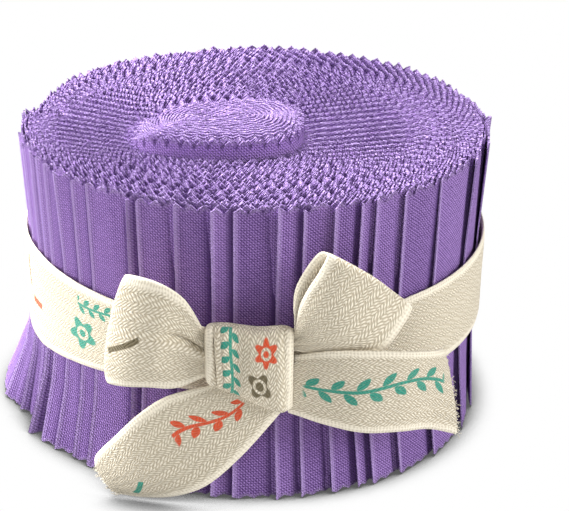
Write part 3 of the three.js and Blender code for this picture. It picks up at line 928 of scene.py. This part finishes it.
# A closed cloth of that middle surface: both faces, rounded edges and ends
def clothMesh(name, surface, thickness, clothWidth, closed=False):
    rows, columns = surface.shape[:2]
    normal = surfaceNormals(surface, closed)
    across = np.linspace(-1, 1, columns)
    half = (thickness / 2) * np.maximum(np.sqrt(1 - np.abs(across) ** 12), 0.3)[None, :, None]
    faces = [surface + normal * half, surface - normal * half]
    points = np.concatenate([face.reshape(-1, 3) for face in faces]) * mm
    along = runningSum(np.linalg.norm(np.diff(surface[:, columns // 2], axis=0), axis=1))
    i, j = np.meshgrid(np.arange(rows if closed else rows - 1), np.arange(columns - 1), indexing="ij")
    below = (i + 1) % rows

    def quadsOf(*corners):
        numbers = [(face * rows + row) * columns + column for face, row, column in corners]
        return np.stack(numbers, -1).reshape(-1, 4)

    quads = [quadsOf((0, i, j), (0, below, j), (0, below, j + 1), (0, i, j + 1))]
    quads.append(quadsOf((1, i, j), (1, i, j + 1), (1, below, j + 1), (1, below, j)))
    r = np.arange(rows if closed else rows - 1)
    n = (r + 1) % rows
    last = columns - 1
    quads.append(quadsOf((0, r, 0), (1, r, 0), (1, n, 0), (0, n, 0)))
    quads.append(quadsOf((0, r, last), (0, n, last), (1, n, last), (1, r, last)))
    if not closed:
        c = np.arange(last)
        end = rows - 1
        quads.append(quadsOf((0, 0, c), (0, 0, c + 1), (1, 0, c + 1), (1, 0, c)))
        quads.append(quadsOf((0, end, c), (1, end, c), (1, end, c + 1), (0, end, c + 1)))
    quads = np.concatenate(quads)
    mesh = bpy.data.meshes.new(name)
    mesh.from_pydata(points.tolist(), [], quads.tolist())
    spot = quads.ravel() % (rows * columns)
    u = along[spot // columns]
    if closed:
        quadRows = quads % (rows * columns) // columns
        seam = quadRows.max(1) - quadRows.min(1) > 1
        lap = along[-1] + np.linalg.norm(surface[0, columns // 2] - surface[-1, columns // 2])
        u = np.where(np.repeat(seam, 4) & (spot // columns == 0), lap, u)
    v = (spot % columns) / (columns - 1) * clothWidth
    uv = mesh.uv_layers.new(name="clothUv")
    uv.data.foreach_set("uv", np.ascontiguousarray(np.stack([u, v], -1) * mm, np.float32).ravel())
    turnOutwards(mesh)
    mesh.polygons.foreach_set("use_smooth", [True] * len(mesh.polygons))
    return mesh


tapeValues = {
    "width": 21,
    "thickness": 0.8,
    "clearance": 0.75,
    "ripple": 0.12,
    "pleatReach": 0.14,
    "pleats": 2.5,
    "waves": ((0.10, 9, 5), (0.06, 23, -9)),
}


# Printed marks, with their centres on the flat tape: from its start and from its lower edge
def sprig(ink, centre, length, bend, leafPitch=3.4, leafLength=2.6, leafWidth=1.1, stem=0.5, turn=0.0):
    leaves = {"Leaf pitch": leafPitch, "Leaf length": leafLength, "Leaf width": leafWidth, "Stem width": stem}
    return ink, "sprig", {"Centre": (*centre, 0), "Turn": turn, "Length": length, "Bend": bend, **leaves}


def flower(ink, centre, radius, petals=6.0, eye=0.32, turn=0.0):
    sizes = {"Radius": radius, "Petals": petals, "Eye": eye}
    return ink, "flower", {"Centre": (*centre, 0), "Turn": turn, **sizes}


def dash(ink, centre, length, width, bend=0.0, turn=0.0):
    return ink, "dash", {"Centre": (*centre, 0), "Turn": turn, "Length": length, "Width": width, "Bend": bend}


def addTape(name, node, mesh, material, flatLength):
    piece = bpy.data.objects.new(name, mesh)
    scene.collection.objects.link(piece)
    mesh.materials.append(material)
    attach(piece, "root")
    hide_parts(node)
    area = sum(face.area for face in mesh.polygons) / 2
    print(name, "cloth area share", round(area / (tapeValues["width"] * flatLength * mm * mm), 3))


# The tape round the waist: angle, lower edge and upper edge
bandEdges = [
    (0, 20.2, 40.4), (90, 20.4, 40.8), (160, 20, 41.2), (190, 19, 41.2), (207, 19.5, 41), (222, 21.2, 40.2),
    (236, 22.4, 39.4), (252, 23, 37.8), (270, 23, 36.8), (290, 22.6, 37.8), (310, 21.6, 39.6),
    (360, 20.2, 40.4),
]
bandMarks = [
    flower("teal", (196.3, 8.6), 4.2, 5.0, turn=0.4),
    sprig("teal", (203, 16.4), 16.0, 0.4, 2.9, 2.4, 1.3, 0.7),
    dash("orange", (171.5, 14.0), 7.0, 0.9, 0.04, turn=1.45),
    dash("orange", (177, 8.6), 5.6, 1.3),
    sprig("teal", (60, 10.5), 40.0, 1.6),
    flower("orange", (110, 9.5), 3.4),
]


def makeBand():
    angles = np.arange(0, 360, 1.25)
    across = np.linspace(0, 1, 17)
    table = np.array(bandEdges, float)
    low, high = (np.interp(angles, table[:, 0], table[:, k]) for k in (1, 2))
    z = low[:, None] + (high - low)[:, None] * across[None, :]
    radius = wallRadius(angles[:, None], z) + tapeValues["clearance"] + tapeValues["thickness"] / 2
    ripple = tapeValues["ripple"] * np.sin(np.radians(angles * 7 + 40))[:, None] * np.cos(across * 5)[None, :]
    surface = np.concatenate([(radius + ripple)[..., None] * around(angles)[:, None, :], z[..., None]], -1)
    mesh = clothMesh("waistTape", surface, tapeValues["thickness"], tapeValues["width"], closed=True)
    material = makeTapeMaterial("tapeRoundWaist", tapeCloth, bandMarks)
    addTape("waistTape", "tie_band", mesh, material, 2 * pi * roll["topRadius"])


loopLeftRows = [
    ((-9.1, -53.6, 28.6), (-9.1, -54.4, 34.4), (-9.1, -53.7, 39.4)),
    ((-14.4, -55.4, 27.2), (-13.6, -55.6, 36.8), (-12.4, -55.8, 46.6)),
    ((-19.7, -55.4, 27.3), (-18.4, -57.4, 38.2), (-16.6, -56.4, 50)),
    ((-25, -53.8, 26.6), (-23.8, -56.2, 38.2), (-20.8, -55.8, 51.2)),
    ((-28, -51.2, 26), (-27.2, -52.8, 38.2), (-23.6, -54.2, 50.8)),
    ((-26.9, -49.2, 26), (-26.2, -50, 38), (-22.4, -52.9, 48.6)),
    ((-22, -50.2, 27), (-21.4, -50.8, 37.6), (-18, -52.2, 46.6)),
    ((-14, -51.2, 28.4), (-14, -51.4, 36), (-12.6, -52, 43.2)),
    ((-9.1, -51.3, 30), (-9.1, -51.5, 34.2), (-9.1, -51.6, 38.4)),
]
loopRightRows = [
    ((9.4, -53.6, 35), (9, -54.4, 37.3), (9, -53.6, 39.6)),
    ((19, -53.4, 33.6), (13.9, -56.3, 40), (9.6, -55.2, 45.2)),
    ((25.6, -53, 34.6), (17.7, -57, 43.2), (11, -55.9, 49)),
    ((29.5, -51.5, 39.2), (21, -55.8, 47.6), (13.3, -55.6, 53)),
    ((31.4, -49.9, 42.7), (23.2, -53.6, 50.2), (14.6, -54.6, 55.8)),
    ((30.4, -48.2, 41.8), (22.2, -51.6, 49.6), (13.2, -52.8, 55.4)),
    ((24.6, -50.2, 35.8), (16.2, -52, 43.6), (9, -52.4, 48.4)),
    ((17.6, -51, 34.8), (12.6, -51.8, 40.2), (8.4, -51.9, 43.8)),
    ((9.4, -51.4, 35.6), (9, -51.6, 37.4), (9, -51.5, 39.2)),
]
tailLeftRows = [
    ((6.3, -54.2, 21.5), (-1.2, -54.5, 24.6), (-7.8, -54.2, 27.2)),
    ((-1.8, -55, 11.4), (-8.8, -55.8, 18), (-16.2, -55, 25)),
    ((-8.8, -54.9, 4.6), (-15.6, -55.6, 12.4), (-21.8, -54.8, 20.8)),
    ((-14.8, -54.1, 1.8), (-20.6, -54.9, 8.6), (-26.2, -53.2, 15.4)),
    ((-21, -53.1, 0.8), (-25.2, -53, 5), (-31, -50.2, 8.4)),
    ((-26.2, -52, 0.8), (-28.9, -51.3, 3.4), (-31.2, -49.8, 6.5)),
]
tailRightRows = [
    ((9.2, -53.6, 20.6), (9.2, -54.6, 28), (9.2, -53.8, 34)),
    ((15, -54.8, 19.2), (15, -55.6, 28), (15, -55.6, 35.8)),
    ((22.4, -55, 17.6), (22.4, -56, 27.4), (22, -55.9, 36.2)),
    ((30, -52.6, 16.6), (30.4, -53.6, 26.6), (31, -53.6, 35)),
    ((36, -48.6, 15), (36.2, -49.6, 24.8), (36.4, -49.6, 33.2)),
    ((42, -45, 11.8), (40.6, -46.2, 22.4), (38, -46.6, 32.2)),
]


# Short bent threads along a cut end: "outward" is stored on the end's line
def makeFrayTree():
    inputs = [
        ("End line", "NodeSocketGeometry", None),
        ("Threads", "NodeSocketInt", 70),
        ("Thread length", "NodeSocketFloat", 1.3 * mm),
        ("Thread radius", "NodeSocketFloat", 0.065 * mm),
        ("Spread", "NodeSocketFloat", 0.45),
        ("Seed", "NodeSocketInt", 5),
        ("Thread", "NodeSocketMaterial", None),
    ]
    tree, given, out = newTree("frayedEnd", "GeometryNodeTree", inputs, [("Threads", "NodeSocketGeometry")])

    def randomValue(kind, low, high, offset):
        inputs = {"Seed": plus(given["Seed"], float(offset))}
        node = addNode(tree, "FunctionNodeRandomValue", inputs, data_type=kind)
        first = 0 if kind == "FLOAT_VECTOR" else 2
        node.inputs[first].default_value = low
        node.inputs[first + 1].default_value = high
        return node.outputs[first // 2]

    def rotation(kind, inputs, **settings):
        return addNode(tree, "FunctionNode" + kind, inputs, **settings).outputs[0]

    line = changed("MeshToCurve", given["End line"])
    places = changed("CurveToPoints", line, {"Count": given["Threads"]}, mode="COUNT")
    outward = stored(tree, "outward", "FLOAT_VECTOR")
    strayed = vectorCalc("SCALE", randomValue("FLOAT_VECTOR", (-1, -1, -1), (1, 1, 1), 1), given["Spread"])
    turned = rotation("AlignRotationToVector", {"Vector": vectorCalc("ADD", outward, strayed)}, axis="Z")
    spin = {"Axis": (0, 0, 1), "Angle": randomValue("FLOAT", 0.0, 2 * pi, 2)}
    both = {"Rotation": turned, "Rotate By": rotation("AxisAngleToRotation", spin)}
    turned = rotation("RotateRotation", both, rotation_space="LOCAL")
    bend = {"Resolution": 5, "Start": (0, 0, -0.3), "Middle": (0.35, 0, 0.5), "End": (0, 0.1, 1)}
    bent = addNode(tree, "GeometryNodeCurveQuadraticBezier", bend).outputs[0]
    bent = changed("Transform", bent, {"Scale": joinXYZ(*[given["Thread length"]] * 3)})
    ring = {"Resolution": 4, "Radius": given["Thread radius"]}
    ring = addNode(tree, "GeometryNodeCurvePrimitiveCircle", ring).outputs[0]
    thread = changed("CurveToMesh", bent, {"Profile Curve": ring, "Fill Caps": True})
    thick = joinXYZ(1.0, 1.0, randomValue("FLOAT", 0.35, 1.15, 3))
    threads = changed("InstanceOnPoints", places, {"Instance": thread, "Rotation": turned, "Scale": thick})
    threads = changed("RealizeInstances", threads)
    threads = changed("SetShadeSmooth", threads, {"Shade Smooth": True}, domain="FACE")
    link(changed("SetMaterial", threads, {"Material": given["Thread"]}), out["Threads"])
    return tree


def makeThreadMaterial(values):
    material = bpy.data.materials.new("tapeThread")
    material.use_nodes = True
    tree = material.node_tree
    shader = tree.nodes["Principled BSDF"]
    place = addNode(tree, "ShaderNodeTexCoord").outputs["Object"]
    tone = noiseAt(place, 1500.0, 2.0)
    colour = mixColour(mapRange(tone, 0.3, 0.6), values["gap"], values["thread"])
    link(colour, shader.inputs["Base Color"])
    shader.inputs["Roughness"].default_value = values["roughness"]
    shader.inputs["Sheen Weight"].default_value = values["sheen"]
    return material


frayTree = makeFrayTree()
tapeThread = makeThreadMaterial(tapeCloth)


def makeFray(name, node, surface, seed):
    line = bpy.data.meshes.new("endLine")
    count = surface.shape[1]
    line.from_pydata((surface[-1] * mm).tolist(), [(k, k + 1) for k in range(count - 1)], [])
    outward = surface[-1] - surface[-3]
    storeValues(line, "outward", "FLOAT_VECTOR", outward / np.linalg.norm(outward, axis=1, keepdims=True))
    piece = applyTree(name, line, frayTree, {"Seed": seed, "Thread": tapeThread})
    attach(piece, "root")
    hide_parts(node)
    print(name, "has", len(piece.data.polygons), "faces")
    return piece


# Carries a piece's rows on into the knot, as far as a share of its first or last span
def runIn(rows, startShare, endShare):
    table = np.array(rows, float)
    before = [table[0] + (table[0] - table[1]) * startShare] if startShare else []
    after = [table[-1] + (table[-1] - table[-2]) * endShare] if endShare else []
    return np.array([*before, *table, *after])


bowValues = {
    "loopLeft": {
        "node": "bow_loop_left", "rows": loopLeftRows, "runIn": (0.35, 0.35), "flat": 52, "count": (170, 29),
        "held": "folded", "restsOn": ["bow_knot"], "pleat": 0.3,
        "creases": [(0.58, 0.05, 2.3, 0.26), (0.47, 0.07, -1.3, 0.3)],
        "marks": [dash("olive", (18.6, 9.0), 7.8, 1.1, turn=0.5)],
    },
    "loopRight": {
        "node": "bow_loop_right", "rows": loopRightRows, "runIn": (0.2, 0.2), "flat": 52, "count": (170, 29),
        "held": "folded", "restsOn": ["bow_knot"], "pleat": 0.45,
        "creases": [(0.3, 0.08, -0.6, 0.2)],
        "marks": [],
    },
    "tailLeft": {
        "node": "bow_tail_left", "rows": tailLeftRows, "runIn": (0.12, 0), "flat": 38, "count": (120, 29),
        "held": "hung", "restsOn": ["bow_knot"], "pleat": 0.2, "creases": [], "seed": 8,
        "marks": [
            sprig("orange", (9.5, 11.5), 16.0, 1.2, 4.2, 3.2, 1.6, 0.9, turn=-0.15),
            dash("teal", (31.5, 5.5), 5.6, 1.2, turn=0.9),
        ],
    },
    "tailRight": {
        "node": "bow_tail_right", "rows": tailRightRows, "runIn": (0.25, 0), "flat": 36, "count": (120, 29),
        "held": "laid", "restsOn": ["bow_knot", "strip_roll"], "pleat": 0.2, "creases": [], "seed": 9,
        "marks": [sprig("teal", (18.5, 11.5), 32.0, 1.8, 5.0, 3.8, 1.9, 0.95)],
    },
}


def makeBowPiece(name, values):
    surface = tapeSurface(runIn(values["rows"], *values["runIn"]), *values["count"])
    normal = surfaceNormals(surface)
    along = np.linspace(0, 1, values["count"][0])[:, None]
    across = np.linspace(0, 1, values["count"][1])[None, :]
    reach = tapeValues["pleatReach"]
    toKnot = np.exp(-along / reach) + (np.exp(-(1 - along) / reach) if values["runIn"][1] else 0)
    relief = values["pleat"] * toKnot * np.cos(2 * pi * tapeValues["pleats"] * across)
    relief += sum(size * np.sin(a * along + b * across) for size, a, b in tapeValues["waves"])
    for middle, width, depth, reach in values["creases"]:
        relief += depth * np.exp(-(((across - middle) / width) ** 2) - (along / reach) ** 2)
    surface = surface + normal * (relief * np.sin(pi * across) ** 0.5)[..., None]
    mesh = clothMesh(name, surface, tapeValues["thickness"], tapeValues["width"])
    material = makeTapeMaterial("tape" + name[0].upper() + name[1:], tapeCloth, values["marks"])
    frays = [] if values["runIn"][1] else [makeFray(name + "Fray", values["node"], surface, values["seed"])]
    addTape(name, values["node"], mesh, material, values["flat"])


# Sections of the knot: x, lower, upper, front and back
knotValues = {
    "sections": [
        (-8.6, 29, 39.4, -55.4, -51.6), (-7.6, 27.7, 40.4, -57.2, -51.1), (-4.6, 26.6, 40.6, -57.9, -50.9),
        (-2.4, 25.6, 40.2, -57, -50.9), (2, 23.6, 39.9, -58, -50.9), (6.6, 21.9, 40.3, -57.6, -51.1),
        (8.5, 22.4, 39.6, -55.6, -51.6),
    ],
    "squareness": 3,
    "count": (150, 61),
    "folds": [(-6.5, 0.75, 0.5), (-5.1, 0.35, 0.4), (6.9, 0.45, 0.5)],
    "flat": 42,
    "marks": [
        sprig("teal", (8.4, 6.2), 16.0, 0.3, 3.2, 2.6, 1.4, 0.75),
        flower("orange", (4.8, 14.6), 2.9),
        flower("olive", (11.4, 13.2), 3.0, 4.0, 0.42, 0.5),
    ],
}


def makeKnot(values):
    alongCount, acrossCount = values["count"]
    sections = lineThrough(values["sections"], np.linspace(0, 1, 400))
    evenly = np.linspace(sections[0, 0], sections[-1, 0], acrossCount)
    sections = np.column_stack([np.interp(evenly, sections[:, 0], column) for column in sections.T])
    x, low, high, front, back = (sections[:, k][None, :] for k in range(5))
    turn = 0.5 * pi - np.linspace(0, 2 * pi, alongCount, endpoint=False)[:, None]
    c, s = np.cos(turn), np.sin(turn)
    squareness = values["squareness"]
    size = (np.abs(c) ** squareness + np.abs(s) ** squareness) ** (-1 / squareness)
    inset = tapeValues["thickness"] / 2
    wandering = x + 0.4 * s
    folds = values["folds"]
    fold = sum(depth * np.exp(-(((wandering - middle) / width) ** 2)) for middle, depth, width in folds)
    fold = fold * np.clip(c + 0.4, 0, 1)
    y = (front + back) / 2 + ((front - back) / 2 + inset) * size * c + fold
    z = (low + high) / 2 + ((high - low) / 2 - inset) * size * s
    surface = np.stack([np.broadcast_to(x, y.shape), y, z], -1)
    mesh = clothMesh("knot", surface, tapeValues["thickness"], tapeValues["width"], closed=True)
    material = makeTapeMaterial("tapeKnot", tapeCloth, values["marks"])
    addTape("knot", "bow_knot", mesh, material, values["flat"])


makeBand()
for pieceName, pieceValues in bowValues.items():
    makeBowPiece(pieceName, pieceValues)
makeKnot(knotValues)
print("tape and bow are tied")
